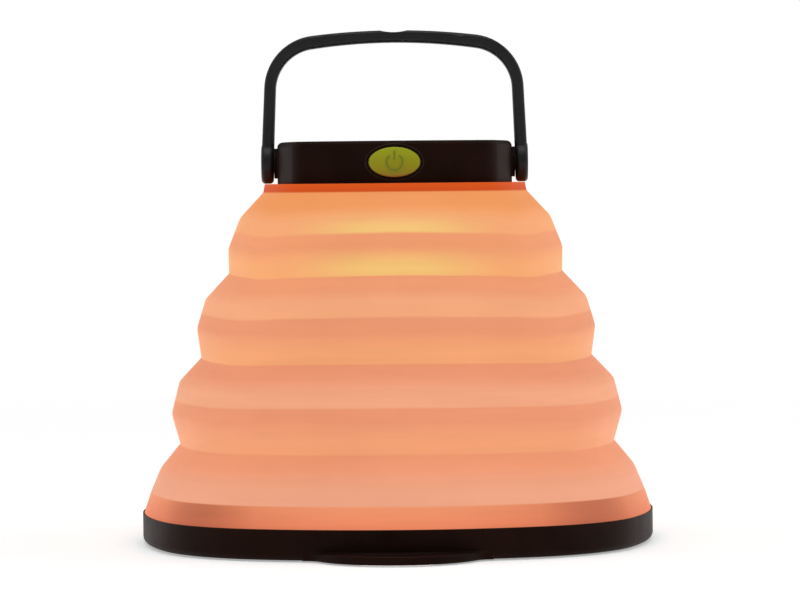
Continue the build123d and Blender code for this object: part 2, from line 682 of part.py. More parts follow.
def port_flap():
    """Rubber flap flush with the wall, with a round bead on its hinge and a pull at its top."""
    plate = along_y(Pos(0, PORT_Z) * flap_shape(), CAP_HALF - INSIDE, CAP_HALF + OUTSIDE)
    plate -= slab(CAP_HALF - FLAP_THICKNESS, CAP_BOTTOM, CAP_TOP)
    plate &= slab(CAP_HALF, CAP_BOTTOM, CAP_TOP)
    depth = FLAP_THICKNESS / 2 + PULL_PROUD
    pull_z = PORT_Z + FLAP_HEIGHT / 2 - PULL_BELOW_EDGE
    pull = block(0, CAP_HALF + PULL_PROUD - depth / 2, pull_z, PULL_WIDTH, depth, PULL_HEIGHT)
    return plate + pull + hinge_rod(FLAP_THICKNESS / 2, HINGE_HALF_LENGTH)


def battery_cell():
    """Flat pouch cell under the cap's roof."""
    bottom = CAP_ROOF_BOTTOM - PAD_THICKNESS - CELL_THICKNESS
    cell = block(0, 0, bottom + CELL_THICKNESS / 2, CELL_LENGTH, CELL_WIDTH, CELL_THICKNESS)
    return fillet(cell.edges().filter_by(Axis.X), CELL_EDGE)


def battery_pad():
    """Foam tape between the cell and the roof."""
    z = CAP_ROOF_BOTTOM - PAD_THICKNESS / 2
    return block(0, 0, z, CELL_LENGTH - 2 * PAD_INSET, CELL_WIDTH - 2 * PAD_INSET, PAD_THICKNESS)


def solar_panel():
    return slab(PANEL_POCKET_HALF - PANEL_GAP, PANEL_POCKET_BOTTOM, PANEL_TOP)


def solar_window():
    """Clear cover, a hair above the panel and just below the cap's rim."""
    window = slab(PANEL_POCKET_HALF - PANEL_GAP, PANEL_TOP + PANEL_GAP, CAP_TOP - WINDOW_BELOW_TOP)
    return fillet(window.edges().group_by(Axis.Z)[-1], WINDOW_EDGE)


def lead(points):
    """Round wire along straight runs joined by arcs."""
    path = FilletPolyline(*points, radius=LEAD_BEND)
    start = path.edges()[0]
    section = Plane(origin=start @ 0, z_dir=start % 0) * Circle(LEAD_RADIUS)
    return sweep(section, path=path)


def battery_leads():
    """Wire pair from the end of the cell down to the board."""
    z = CAP_ROOF_BOTTOM - PAD_THICKNESS - CELL_THICKNESS / 2
    start = CELL_LENGTH / 2
    turn = start + LEAD_OUT
    wires = []
    for y in (-CELL_LEAD_SPREAD, CELL_LEAD_SPREAD):
        wires.append(lead(((start, y, z), (turn, y, z), (turn, y, BOARD_TOP))))
    return Compound(wires)


def solar_leads():
    """Wire pair from the panel, through the roof and down to the board."""
    wires = []
    for x in (-LEAD_SPREAD, LEAD_SPREAD):
        start = (x, SOLAR_LEAD_Y, PANEL_POCKET_BOTTOM)
        first = (x, SOLAR_LEAD_Y, SOLAR_LEAD_BEND_Z)
        second = (x, SOLAR_LEAD_BOARD_Y, SOLAR_LEAD_BEND_Z)
        end = (x, SOLAR_LEAD_BOARD_Y, BOARD_TOP)
        wires.append(lead((start, first, second, end)))
    return Compound(wires)


def led_leads():
    """Straight wire pair from the lamp's board up through the main board."""
    bottom = CLAMP_TOP + LED_LEAD_START
    top = BOARD_TOP + LED_LEAD_ABOVE_BOARD
    return Compound([tube(x, 0, bottom, top, LEAD_RADIUS) for x in (-LEAD_SPREAD, LEAD_SPREAD)])


def handle_outline(half, lean, top, crown, corner):
    """One edge of the bail above the pivot: two leaning legs, round corners and a crowned top."""
    slope = math.tan(math.radians(lean))
    shoulder = half - top * slope
    height = top - crown + math.sqrt(crown**2 - shoulder**2)
    shoulder = half - height * slope
    legs = Polyline((-shoulder, height), (-half, 0), (half, 0), (shoulder, height))
    arch = ThreePointArc((shoulder, height), (0, top), (-shoulder, height))
    face = make_face(Wire([*legs.edges(), *arch.edges()]))
    return fillet(face.vertices().group_by(Axis.Y)[-1], corner)


def carry_handle():
    """Bail with a round eye and an inward peg at each foot, and a hook saddle in its crown."""
    inner_half = HANDLE_OUTER_HALF - HANDLE_THICKNESS
    inner_top = HANDLE_OUTER_TOP - HANDLE_THICKNESS
    outer = handle_outline(
        HANDLE_OUTER_HALF, HANDLE_OUTER_LEAN, HANDLE_OUTER_TOP, HANDLE_OUTER_CROWN, HANDLE_OUTER_CORNER
    )
    inner = handle_outline(inner_half, HANDLE_INNER_LEAN, inner_top, HANDLE_INNER_CROWN, HANDLE_INNER_CORNER)
    bail = along_y(outer - inner, -HANDLE_DEPTH / 2, HANDLE_DEPTH / 2)
    rims = bail.edges().group_by(Axis.Y)
    long_rims = [e for e in rims[0] + rims[-1] if e.center().Z > HANDLE_EDGE]
    bail = fillet(long_rims, HANDLE_EDGE)
    saddle = (SADDLE_WIDTH**2 / 4 + SADDLE_DEPTH**2) / (2 * SADDLE_DEPTH)
    saddle_z = HANDLE_OUTER_TOP - SADDLE_DEPTH + saddle
    bail -= Pos(0, 0, saddle_z) * Rot(90, 0, 0) * Cylinder(saddle, 2 * HANDLE_DEPTH)
    for side in (-1, 1):
        eye = Cylinder(HANDLE_EYE_RADIUS, HANDLE_THICKNESS)
        eye = fillet(eye.edges(), HANDLE_EDGE)
        middle = side * (HANDLE_OUTER_HALF + inner_half) / 2
        bail += Pos(middle, 0, 0) * Rot(0, 90, 0) * eye
        peg_length = inner_half - PEG_END + PEG_OVERLAP
        centre = side * (PEG_END + peg_length / 2)
        bail += Pos(centre, 0, 0) * Rot(0, 90, 0) * Cylinder(PEG_RADIUS, peg_length)
    return bail.moved(Location((0, 0, PIVOT_Z)))


PARTS = {
    "base_tray": base_tray,
    "lower_clamp_ring": lower_clamp_ring,
    "reflector_plate": reflector_plate,
    "base_screws": base_screws,
    "bellows": bellows,
    "cap_housing": cap_housing,
    "cap_base_plate": cap_base_plate,
    "upper_clamp_plate": upper_clamp_plate,
    "cap_screws": cap_screws,
    "cap_seal": cap_seal,
    "solar_panel": solar_panel,
    "solar_window": solar_window,
    "main_board": main_board,
    "board_chips": board_chips,
    "power_switch": power_switch,
    "switch_plunger": switch_plunger,
    "power_button": power_button,
    "button_seal": button_seal,
    "charging_socket": charging_socket,
    "socket_tongue": socket_tongue,
    "port_flap": port_flap,
    "battery_cell": battery_cell,
    "battery_pad": battery_pad,
    "battery_leads": battery_leads,
    "solar_leads": solar_leads,
    "led_leads": led_leads,
    "led_board": led_board,
    "led_chips": led_chips,
    "led_lens": led_lens,
    "carry_handle": carry_handle,
}

os.makedirs("parts", exist_ok=True)
for name, make in PARTS.items():
    export_step(make(), f"parts/{name}.step")
for number, (foot_x, foot_y) in enumerate(corners(FOOT_SPOT), 1):
    export_step(rubber_foot(foot_x, foot_y), f"parts/rubber_foot_{number}.step")
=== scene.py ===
import math

import bpy
import numpy as np
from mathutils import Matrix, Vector


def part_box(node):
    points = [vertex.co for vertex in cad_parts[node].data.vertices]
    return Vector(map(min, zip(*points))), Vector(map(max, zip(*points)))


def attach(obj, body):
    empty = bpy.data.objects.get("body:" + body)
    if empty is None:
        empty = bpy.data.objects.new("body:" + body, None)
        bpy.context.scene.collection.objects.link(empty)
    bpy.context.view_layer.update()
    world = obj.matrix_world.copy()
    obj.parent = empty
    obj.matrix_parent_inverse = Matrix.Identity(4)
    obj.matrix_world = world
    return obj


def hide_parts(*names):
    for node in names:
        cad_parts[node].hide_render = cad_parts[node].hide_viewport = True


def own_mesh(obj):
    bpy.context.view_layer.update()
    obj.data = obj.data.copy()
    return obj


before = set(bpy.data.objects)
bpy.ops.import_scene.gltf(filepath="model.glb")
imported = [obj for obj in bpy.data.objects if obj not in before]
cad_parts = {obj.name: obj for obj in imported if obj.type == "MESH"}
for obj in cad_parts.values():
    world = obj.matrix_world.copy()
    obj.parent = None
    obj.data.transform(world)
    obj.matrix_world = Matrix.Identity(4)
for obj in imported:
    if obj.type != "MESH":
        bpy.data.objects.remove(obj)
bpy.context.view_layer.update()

# A collapsible camping lantern, lit. Metres, +Z up, -Y is the front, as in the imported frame.

MM = 0.001

# Plan shape of every square part: four long side arcs joined by four corner arcs.
BASE_HALF = 63.5 * MM
SIDE_RADIUS = 95.6 * MM
CORNER_RADIUS = 40.0 * MM
SIDE_STEPS = 26
CORNER_STEPS = 16

# Heights on the shade, in millimetres: its foot, the bead's top, each pleat's bend and valley, its top.
SHADE_FOOT = 7.65
BEAD_TOP = 12.5
BENDS = (18.4, 40.0, 60.4, 80.5)
VALLEYS = (24.5, 45.8, 66.7, 86.7)
SHADE_TOP = 88.78

# Outside of the shade from the foot up, in millimetres: height, half-width, rounding.
SHADE_OUTSIDE = (
    (SHADE_FOOT, 63.1, 0.0),
    (BEAD_TOP, 61.5, 0.5),
    (BENDS[0], 59.0, 0.9), (VALLEYS[0], 54.0, 0.3), (32.0, 56.1, 0.9),
    (BENDS[1], 54.1, 0.9), (VALLEYS[1], 48.6, 0.3), (53.2, 49.6, 0.9),
    (BENDS[2], 47.4, 0.9), (VALLEYS[2], 41.5, 0.3), (72.9, 41.6, 0.9),
    (BENDS[3], 38.6, 0.9),
    (VALLEYS[3], 32.8, 0.4),
    (SHADE_TOP, 32.4, 0.0),
)
# How far the shade hangs lower at the corners than in the middle of a side, in millimetres: height, sag.
CORNER_SAG = (
    (SHADE_FOOT, 0.0), (BEAD_TOP, 0.0), (40.0, 0.4), (60.0, 0.85), (80.0, 1.0),
    (VALLEYS[3], 0.0), (SHADE_TOP, 0.0),
)
SAG_SHARPNESS = 1.4

# The shade's wall. A shoulder runs from this far under a bend to this far under the valley above it.
SHOULDER_UNDER_BEND = 3.9
SHOULDER_UNDER_VALLEY = 0.6
SHOULDER_WALL = 0.9
CREST_WALL = 1.5
BEAD_WALL = 2.6
NECK_WALL = 1.8

# Height of the top flange's underside and its half-width inside. Half-width of the foot flange inside, its
# underside and top, and the half-widths of the tongue that joins it to the foot.
TOP_FLANGE = (87.2, 24.0)
FOOT_FLANGE_HALF = 54.0
FOOT_FLANGE_LEVELS = (3.9, 4.9)
FOOT_TONGUE = (59.9, 61.5)

# How finely the shade's section is cut, and the angle from which an edge stays sharp.
RING_SPACING = 1.3
ROUNDING_STEPS = 5
SHARP_ANGLE = 40

# A hair between the floor and the rubber feet, so that their faces don't coincide. The floor's rings, and the
# distances between which it fades into the backdrop, in metres.
FLOOR_GAP = 0.05 * MM
FLOOR_RINGS = (0.0, 0.15, 0.4, 1.0, 2.5, 6.0)
FLOOR_SECTORS = 48
FLOOR_FADE = (0.12, 0.9)

# Light of the white room from the front and from behind.
ROOM_FRONT = 0.25
ROOM_BACK = 0.44

# Softboxes: name, place, size in metres, watts. They face the middle of the lantern.
LANTERN_MIDDLE = (0.0, 0.0, 0.06)
SOFTBOXES = (
    ("softbox_left", (-1.1, 0.1, 0.6), 0.8, 1.6),
    ("softbox_right", (1.1, 0.1, 0.6), 0.8, 2.4),
    ("softbox_top", (0.0, -0.3, 1.3), 0.9, 6.0),
)

# Camera: place in metres, degrees that it looks down and leans over, lens and sensor in millimetres.
CAMERA_PLACE = (0.0013, -0.99, 0.0896)
CAMERA_DOWN = 1.736
CAMERA_LEAN = 0.54
CAMERA_LENS = 178.6
CAMERA_SENSOR = 36.0


# ---------------------------------------------------------------- Materials

class Surface:
    """One material with a single Principled shader, and short calls for the nodes that feed it."""

    def __init__(self, name, **fixed):
        self.material = bpy.data.materials.new(name)
        self.material.use_nodes = True
        self.tree = self.material.node_tree
        self.shader = self.tree.nodes["Principled BSDF"]
        self.place = self.add("ShaderNodeTexCoord").outputs["Object"]
        for socket, value in fixed.items():
            self.shader.inputs[socket.replace("_", " ")].default_value = value

    def add(self, kind, inputs=None, **settings):
        node = self.tree.nodes.new(kind)
        for setting, value in settings.items():
            setattr(node, setting, value)
        for socket, value in (inputs or {}).items():
            self.feed(node.inputs[socket], value)
        return node

    def feed(self, socket, value):
        if isinstance(value, bpy.types.NodeSocket):
            self.tree.links.new(value, socket)
        else:
            socket.default_value = value

    def drive(self, socket, value):
        """Connects a node's output to a socket of the shader."""
        self.feed(self.shader.inputs[socket], value)

    def attribute(self, name):
        self.place = self.add("ShaderNodeAttribute", attribute_name=name).outputs["Vector"]

    def axes(self):
        """X, Y and Z of the place on the object."""
        return self.add("ShaderNodeSeparateXYZ", {"Vector": self.place}).outputs

    def noise(self, scale, detail=4.0, stretch=(1.0, 1.0, 1.0)):
        spot = self.add("ShaderNodeMapping", {"Vector": self.place, "Scale": stretch}).outputs[0]
        texture = self.add("ShaderNodeTexNoise", {"Vector": spot, "Scale": scale, "Detail": detail})
        return texture.outputs["Fac"]

    def cells(self, scale):
        """Distance from the middle of each Voronoi cell."""
        texture = self.add("ShaderNodeTexVoronoi", {"Vector": self.place, "Scale": scale})
        return texture.outputs["Distance"]

    def maths(self, operation, first, second=0.0):
        return self.add("ShaderNodeMath", {0: first, 1: second}, operation=operation).outputs[0]

    def spread(self, factor, from_low, from_high, low=0.0, high=1.0):
        """Maps a range of a value to another range, and clamps it."""
        inputs = {"Value": factor, 1: from_low, 2: from_high, 3: low, 4: high}
        return self.add("ShaderNodeMapRange", inputs).outputs[0]

    def smooth(self, factor, from_zero, to_one):
        """Eases from 0 to 1 between two values."""
        inputs = {"Value": factor, 1: from_zero, 2: to_one, 3: 0.0, 4: 1.0}
        return self.add("ShaderNodeMapRange", inputs, interpolation_type="SMOOTHSTEP").outputs[0]

    def ramp(self, factor, stops, interpolation="LINEAR"):
        """Colour by a factor. Each stop is a position and a linear colour."""
        node = self.add("ShaderNodeValToRGB", {"Fac": factor})
        node.color_ramp.interpolation = interpolation
        elements = node.color_ramp.elements
        for _ in stops[2:]:
            elements.new(0.5)
        for element, (position, colour) in zip(elements, stops):
            element.position = position
            element.color = (*colour, 1.0)
        return node.outputs["Color"]

    def mix(self, factor, first, second, blend="MIX"):
        """Mixes two colours."""
        inputs = {0: factor, 6: rgba(first), 7: rgba(second)}
        node = self.add("ShaderNodeMix", inputs, data_type="RGBA", blend_type=blend)
        return node.outputs[2]

    def lines(self, value, pitch, width):
        """1 on evenly spaced lines across a coordinate, and 0 between them."""
        turns = self.maths("FRACT", self.maths("MULTIPLY", value, 1 / pitch))
        away = self.maths("ABSOLUTE", self.maths("SUBTRACT", turns, 0.5))
        return self.maths("LESS_THAN", away, width / pitch / 2)

    def edges(self, radius, sharpness=3.0):
        """1 along convex and concave edges, fading to 0 on flat areas."""
        rounded = self.add("ShaderNodeBevel", {"Radius": radius}, samples=6).outputs[0]
        flat = self.add("ShaderNodeNewGeometry").outputs["Normal"]
        dot = self.add("ShaderNodeVectorMath", {0: rounded, 1: flat}, operation="DOT_PRODUCT")
        turned = self.maths("SUBTRACT", 1.0, dot.outputs["Value"])
        return self.spread(turned, 0.0, 1.0 / sharpness)

    def relief(self, height, depth, strength=1.0):
        """Adds a bump of this depth, in metres, to the shader's normal."""
        bump = self.add("ShaderNodeBump", {"Height": height, "Distance": depth, "Strength": strength})
        socket = self.shader.inputs["Normal"]
        if socket.is_linked:
            self.tree.links.new(socket.links[0].from_socket, bump.inputs["Normal"])
        self.tree.links.new(bump.outputs[0], socket)


def rgba(value):
    return (*value, 1.0) if isinstance(value, tuple) else value


def moulded(name, dark, light, rough, grain=2600.0, depth=0.02 * MM, edge=None, **fixed):
    """Moulded plastic or rubber: fine grain, uneven gloss, tinted edges; a lighter tint is painted highlight.
    """
    s = Surface(name, **fixed)
    mottle = s.noise(90.0, 5.0)
    grains = s.noise(grain, 3.0)
    colour = s.mix(s.spread(mottle, 0.35, 0.65), dark, light)
    if edge:
        # Painted highlight where the edge colour is lighter than the plastic: patches along convex and
        # concave edges take it.
        edge_tint = s.maths("MULTIPLY", s.edges(0.35 * MM), s.spread(s.noise(400.0), 0.3, 0.6, 0.4, 1.0))
        colour = s.mix(edge_tint, colour, edge)
    s.drive("Base Color", colour)
    uneven = s.spread(mottle, 0.3, 0.7, rough[0], rough[1])
    s.drive("Roughness", s.maths("ADD", uneven, s.spread(grains, 0.3, 0.7, -0.04, 0.04)))
    s.relief(grains, depth)
    return s


def metal(name, colour, rough, along=(1.0, 1.0, 1.0)):
    """Plated or rolled metal with fine directional scratches."""
    s = Surface(name, Metallic=1.0)
    scratches = s.noise(1500.0, 4.0, along)
    stain = s.noise(160.0, 4.0)
    darker = tuple(0.72 * c for c in colour)
    s.drive("Base Color", s.mix(s.spread(stain, 0.35, 0.7), colour, darker))
    s.drive("Roughness", s.spread(scratches, 0.3, 0.7, rough[0], rough[1]))
    s.relief(scratches, 0.008 * MM)
    return s


def black_plastic():
    # Painted light: its brownish cast, warm edge colour and warm specular tint stand in for the shade's
    # orange glow falling on it.
    return moulded(
        "black_plastic", (0.009, 0.0032, 0.0022), (0.014, 0.0052, 0.0038), (0.42, 0.52),
        edge=(0.085, 0.06, 0.048), **{"Specular_IOR_Level": 0.06, "Specular_Tint": (1.0, 0.7, 0.52, 1.0)},
    )


def handle_plastic():
    return moulded(
        "handle_plastic", (0.010, 0.010, 0.0105), (0.015, 0.015, 0.0155), (0.36, 0.46),
        edge=(0.045, 0.045, 0.047), **{"Specular_IOR_Level": 0.25},
    )


def green_button():
    """Yellow-green key: the symbol darker than the face, the face yellower towards its foot, its rim a
    painted highlight.
    """
    s = Surface("green_button", **{"Specular_IOR_Level": 0.2, "Coat_Weight": 0.05})
    low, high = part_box("power_button")
    x, y, z = s.axes()
    height = s.spread(z, low.z, high.z)
    face = s.ramp(height, (
        (0.0, (0.36, 0.22, 0.04)), (0.15, (0.33, 0.28, 0.008)),
        (0.5, (0.33, 0.32, 0.004)), (1.0, (0.38, 0.43, 0.01)),
    ))
    grains = s.noise(1800.0, 3.0)
    face = s.mix(s.spread(grains, 0.35, 0.65, 0.0, 0.12), face, (0.25, 0.28, 0.004))
    side_centre = SIDE_RADIUS - BASE_HALF
    away = s.maths("SUBTRACT", y, side_centre)
    reach = s.maths("SQRT", s.maths("ADD", s.maths("POWER", x, 2.0), s.maths("POWER", away, 2.0)))
    wall = side_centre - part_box("cap_housing")[0].y
    symbol_height = 0.36 * MM
    symbol = s.maths("GREATER_THAN", reach, wall + symbol_height)
    face = s.mix(symbol, face, (0.19, 0.21, 0.006))
    # Painted highlight: the key's edges are lightened halfway towards a pale yellow-green.
    rim_highlight = s.edges(0.5 * MM)
    face = s.mix(s.maths("MULTIPLY", rim_highlight, 0.5), face, (0.45, 0.55, 0.06))
    s.drive("Base Color", face)
    s.drive("Roughness", s.spread(grains, 0.3, 0.7, 0.34, 0.44))
    s.relief(grains, 0.01 * MM)
    return s


def solar_cells():
    """Dark blue cells with silver fingers and bus bars under the laminate."""
    s = Surface("solar_cells", **{"Specular_IOR_Level": 0.5, "Coat_Weight": 0.6})
    x, y, _ = s.axes()
    cell_width = 13.0 * MM
    crystal = s.cells(420.0)
    blue = s.mix(s.spread(crystal, 0.1, 0.7), (0.006, 0.013, 0.045), (0.012, 0.028, 0.085))
    fingers = s.lines(y, 1.6 * MM, 0.16 * MM)
    bars = s.lines(x, cell_width, 0.9 * MM)
    gaps = s.lines(s.maths("ADD", x, cell_width / 2), cell_width, 0.5 * MM)
    colour = s.mix(fingers, blue, (0.16, 0.17, 0.2))
    colour = s.mix(bars, colour, (0.42, 0.43, 0.45))
    colour = s.mix(gaps, colour, (0.004, 0.006, 0.012))
    s.drive("Base Color", colour)
    s.drive("Roughness", s.spread(crystal, 0.0, 0.8, 0.22, 0.38))
    s.relief(s.maths("MAXIMUM", fingers, bars), 0.02 * MM)
    return s


def clear_window():
    s = Surface("clear_window", **{"Transmission_Weight": 1.0, "IOR": 1.49})
    haze = s.noise(700.0, 5.0)
    s.drive("Base Color", s.mix(s.spread(haze, 0.3, 0.7), (0.93, 0.96, 0.97), (0.86, 0.90, 0.92)))
    s.drive("Roughness", s.spread(haze, 0.4, 0.75, 0.02, 0.09))
    s.relief(s.noise(120.0, 2.0), 0.01 * MM)
    return s


def circuit_board():
    """Green solder mask over copper tracks, with tinned pads."""
    s = Surface("circuit_board", **{"Specular_IOR_Level": 0.45})
    x, y, _ = s.axes()
    pitch = 1.8 * MM
    width = 0.5 * MM
    patch = s.noise(140.0, 0.0)
    across = s.maths("MULTIPLY", s.lines(x, pitch, width), s.maths("GREATER_THAN", patch, 0.5))
    along = s.maths("MULTIPLY", s.lines(y, pitch, width), s.maths("LESS_THAN", patch, 0.5))
    tracks = s.maths("MAXIMUM", across, along)
    pads = s.maths("LESS_THAN", s.cells(260.0), 0.16)
    colour = s.mix(tracks, (0.006, 0.06, 0.022), (0.018, 0.13, 0.05))
    colour = s.mix(pads, colour, (0.5, 0.5, 0.47))
    s.drive("Base Color", colour)
    s.drive("Roughness", s.spread(s.noise(500.0), 0.3, 0.7, 0.3, 0.45))
    s.relief(s.maths("MAXIMUM", tracks, pads), 0.035 * MM)
    return s


def lead_wire(name, axis):
    """Insulated wires, red on one side of an axis and black on the other."""
    s = Surface(name, **{"Specular_IOR_Level": 0.4})
    side = s.maths("GREATER_THAN", s.axes()[axis], 0.0)
    colour = s.mix(side, (0.012, 0.012, 0.013), (0.42, 0.02, 0.015))
    dust = s.noise(900.0, 4.0)
    s.drive("Base Color", s.mix(s.spread(dust, 0.45, 0.8, 0.0, 0.3), colour, (0.2, 0.19, 0.18)))
    s.drive("Roughness", s.spread(dust, 0.3, 0.7, 0.35, 0.5))
    s.relief(dust, 0.01 * MM)
    return s


def glowing(name, low, high, strength, **fixed):
    """Lit part: its light varies a little over it, brighter in the middle of the lamp."""
    s = Surface(name, **fixed)
    x, y, _ = s.axes()
    lamp_radius = 17.0 * MM
    reach = s.maths("SQRT", s.maths("ADD", s.maths("POWER", x, 2.0), s.maths("POWER", y, 2.0)))
    centre = s.spread(reach, 0.0, lamp_radius, 1.0, 0.0)
    mottle = s.noise(300.0, 4.0)
    s.drive("Base Color", s.mix(mottle, low, high))
    s.drive("Roughness", s.spread(mottle, 0.3, 0.7, 0.35, 0.5))
    s.drive("Emission Color", s.mix(centre, low, high))
    s.drive("Emission Strength", s.spread(centre, 0.0, 1.0, 0.4 * strength, strength))
    s.relief(mottle, 0.02 * MM)
    return s


def pouch():
    """Crinkled foil of the flat cell."""
    s = metal("cell_pouch", (0.66, 0.67, 0.69), (0.25, 0.42))
    s.relief(s.noise(180.0, 5.0, (1.0, 2.2, 1.0)), 0.12 * MM, 0.6)
    return s


WHITE = ((0.74, 0.73, 0.70), (0.82, 0.81, 0.78))
RUBBER = ((0.008, 0.008, 0.008), (0.014, 0.014, 0.014))


def cad_materials():
    """Each CAD node that stays in view, with its finish."""
    black = black_plastic()
    white = moulded("white_plastic", *WHITE, (0.45, 0.6), edge=(0.88, 0.87, 0.84))
    steel = metal("screw_steel", (0.50, 0.50, 0.51), (0.28, 0.45))
    rubber = moulded(
        "black_rubber", *RUBBER, (0.62, 0.78), 1800.0, 0.03 * MM, **{"Specular_IOR_Level": 0.25},
    )
    foot = moulded("foot_rubber", (0.03, 0.03, 0.03), (0.045, 0.044, 0.043), (0.65, 0.8), 1500.0, 0.04 * MM)
    chip = moulded("chip_plastic", (0.012, 0.012, 0.012), (0.02, 0.02, 0.02), (0.5, 0.62))
    switch = moulded("switch_plastic", (0.05, 0.05, 0.05), (0.07, 0.07, 0.07), (0.42, 0.52))
    finishes = {
        "base_tray": black,
        "cap_housing": black,
        "carry_handle": handle_plastic(),
        "power_button": green_button(),
        "lower_clamp_ring": white,
        "upper_clamp_plate": white,
        "reflector_plate": white,
        "cap_base_plate": moulded(
            "chassis_plastic", (0.02, 0.02, 0.02), (0.03, 0.03, 0.03), (0.5, 0.62), edge=(0.07, 0.07, 0.07)
        ),
        "base_screws": steel,
        "cap_screws": steel,
        "cap_seal": rubber,
        "button_seal": rubber,
        "port_flap": rubber,
        "solar_panel": solar_cells(),
        "solar_window": clear_window(),
        "main_board": circuit_board(),
        "board_chips": chip,
        "socket_tongue": chip,
        "power_switch": switch,
        "switch_plunger": switch,
        "charging_socket": metal("socket_steel", (0.62, 0.61, 0.58), (0.2, 0.36), (1.0, 0.2, 1.0)),
        "battery_cell": pouch(),
        "battery_pad": moulded(
            "foam_tape", (0.035, 0.035, 0.036), (0.06, 0.06, 0.06), (0.8, 0.95), 900.0, 0.1 * MM,
        ),
        "battery_leads": lead_wire("lead_wire_battery", "Y"),
        "solar_leads": lead_wire("lead_wire_solar", "X"),
        "led_leads": lead_wire("lead_wire_led", "X"),
        "led_board": moulded("board_aluminium", *WHITE, (0.4, 0.5), edge=(0.6, 0.6, 0.6)),
        "led_chips": glowing("led_phosphor", (1.0, 0.55, 0.12), (1.0, 0.78, 0.3), 6.0),
        "led_lens": glowing("opal_lens", (1.0, 0.72, 0.42), (1.0, 0.9, 0.72), 2.5),
    }
    for number in range(1, 5):
        finishes[f"rubber_foot_{number}"] = foot
    return finishes


def dress_cad_nodes():
    for node, surface in cad_materials().items():
        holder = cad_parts[node]
        if not holder.material_slots:
            holder.data.materials.append(surface.material)
        for place in holder.material_slots:
            place.material = surface.material


# ---------------------------------------------------------------- Shade

def plan_directions():
    """Points of the full-size plan shape and their outward normals, once round."""
    side_centre = SIDE_RADIUS - BASE_HALF
    gap = SIDE_RADIUS - CORNER_RADIUS
    corner_centre = (math.sqrt(2 * gap**2 - side_centre**2) - side_centre) / 2
    join = math.atan2(corner_centre, corner_centre + side_centre)
    arcs = (
        (-side_centre, 0.0, SIDE_RADIUS, -join, join, SIDE_STEPS),
        (corner_centre, corner_centre, CORNER_RADIUS, join, math.pi / 2 - join, CORNER_STEPS),
    )
    points = []
    normals = []
    for turn in range(4):
        turned = np.array(((0.0, -1.0), (1.0, 0.0)))
        quarter = np.linalg.matrix_power(turned, turn)
        for x, y, radius, start, end, steps in arcs:
            for angle in np.linspace(start, end, steps, endpoint=False):
                normal = np.array((math.cos(angle), math.sin(angle)))
                points.append(quarter @ (np.array((x, y)) + radius * normal))
                normals.append(quarter @ normal)
    return np.array(points), np.array(normals)


def softened(points):
    """A profile of (height, half-width, rounding) with each corner replaced by a short parabola."""
    soft = [np.array(points[0][:2])]
    for before, here, after in zip(points, points[1:], points[2:]):
        corner = np.array(here[:2])
        if not here[2]:
            soft.append(corner)
            continue
        start = corner + here[2] * unit(np.array(before[:2]) - corner)
        end = corner + here[2] * unit(np.array(after[:2]) - corner)
        for t in np.linspace(0, 1, ROUNDING_STEPS):
            soft.append((1 - t) ** 2 * start + 2 * t * (1 - t) * corner + t**2 * end)
    soft.append(np.array(points[-1][:2]))
    return soft


def unit(vector):
    return vector / np.linalg.norm(vector)


def divided(points):
    """A profile with long runs cut into short ones."""
    fine = [points[0]]
    for start, end in zip(points, points[1:]):
        pieces = max(1, round(np.linalg.norm(end - start) / RING_SPACING))
        for i in range(1, pieces + 1):
            fine.append(start + (end - start) * i / pieces)
    return fine


def wall_at(height):
    """Wall thickness of the shade at a height: shoulders are thinner than crest rings."""
    if height < BEAD_TOP:
        return BEAD_WALL
    for bend, valley in zip(BENDS, VALLEYS):
        if bend - SHOULDER_UNDER_BEND < height < valley - SHOULDER_UNDER_VALLEY:
            return SHOULDER_WALL
    return CREST_WALL


def shade_section():
    """Closed section of the shade as (height, half-width): outside, top flange, inside, then the foot."""
    outside = divided(softened(SHADE_OUTSIDE))
    inside = [np.array((z, half - wall_at(z))) for z, half in outside if z < TOP_FLANGE[0]]
    inside.append(np.array((TOP_FLANGE[0], SHADE_OUTSIDE[-1][1] - NECK_WALL)))
    top = [np.array((SHADE_TOP, TOP_FLANGE[1])), np.array(TOP_FLANGE)]
    low, high = FOOT_FLANGE_LEVELS
    inner, outer = FOOT_TONGUE
    tongue = (
        (SHADE_FOOT, inner), (high, inner), (high, FOOT_FLANGE_HALF),
        (low, FOOT_FLANGE_HALF), (low, outer), (SHADE_FOOT, outer),
    )
    return outside + top + inside[::-1] + [np.array(point) for point in tongue]


def build_shade():
    """Mesh of the pleated shade, swept round the plan shape."""
    outline, normals = plan_directions()
    section = shade_section()
    around = len(outline)
    vertices = []
    cornerness = np.abs(2 * normals[:, 0] * normals[:, 1]) ** SAG_SHARPNESS
    rest = []
    for height, half in section:
        ring = outline - normals * (BASE_HALF - half * MM)
        sag = np.interp(height, *zip(*CORNER_SAG)) * cornerness
        vertices.extend((x, y, (height - drop) * MM) for (x, y), drop in zip(ring, sag))
        rest.extend((x, y, height * MM) for x, y in ring)
    faces = []
    for level in range(len(section)):
        above = (level + 1) % len(section)
        for i in range(around):
            j = (i + 1) % around
            faces.append((level * around + i, level * around + j, above * around + j, above * around + i))
    mesh = bpy.data.meshes.new("pleated_shade")
    mesh.from_pydata(vertices, [], faces)
    mesh.update()
    mesh.shade_smooth()
    mesh.set_sharp_from_angle(angle=math.radians(SHARP_ANGLE))
    shade = bpy.data.objects.new("pleated_shade", mesh)
    bpy.context.scene.collection.objects.link(shade)
    # Each point's place on its level pleat, so that the glow stays on its pleat when the shade folds.
    mesh.attributes.new("rest", "FLOAT_VECTOR", "POINT").data.foreach_set("vector", np.ravel(rest))
    corner = mesh.attributes.new("corner", "FLOAT", "POINT")
    corner.data.foreach_set("value", np.tile(cornerness, len(section)))
    return shade


# Lines round the shade where its glow steps, besides its valleys: the one over the bead, and the ledges under
# the bends, where the wall changes thickness. A step is this wide under and over its line. In millimetres.
BEAD_LINE = 12.85
LEDGES = (35.7, 57.0, 77.0)
UNDER_LINE = 0.1
OVER_LINE = 0.2

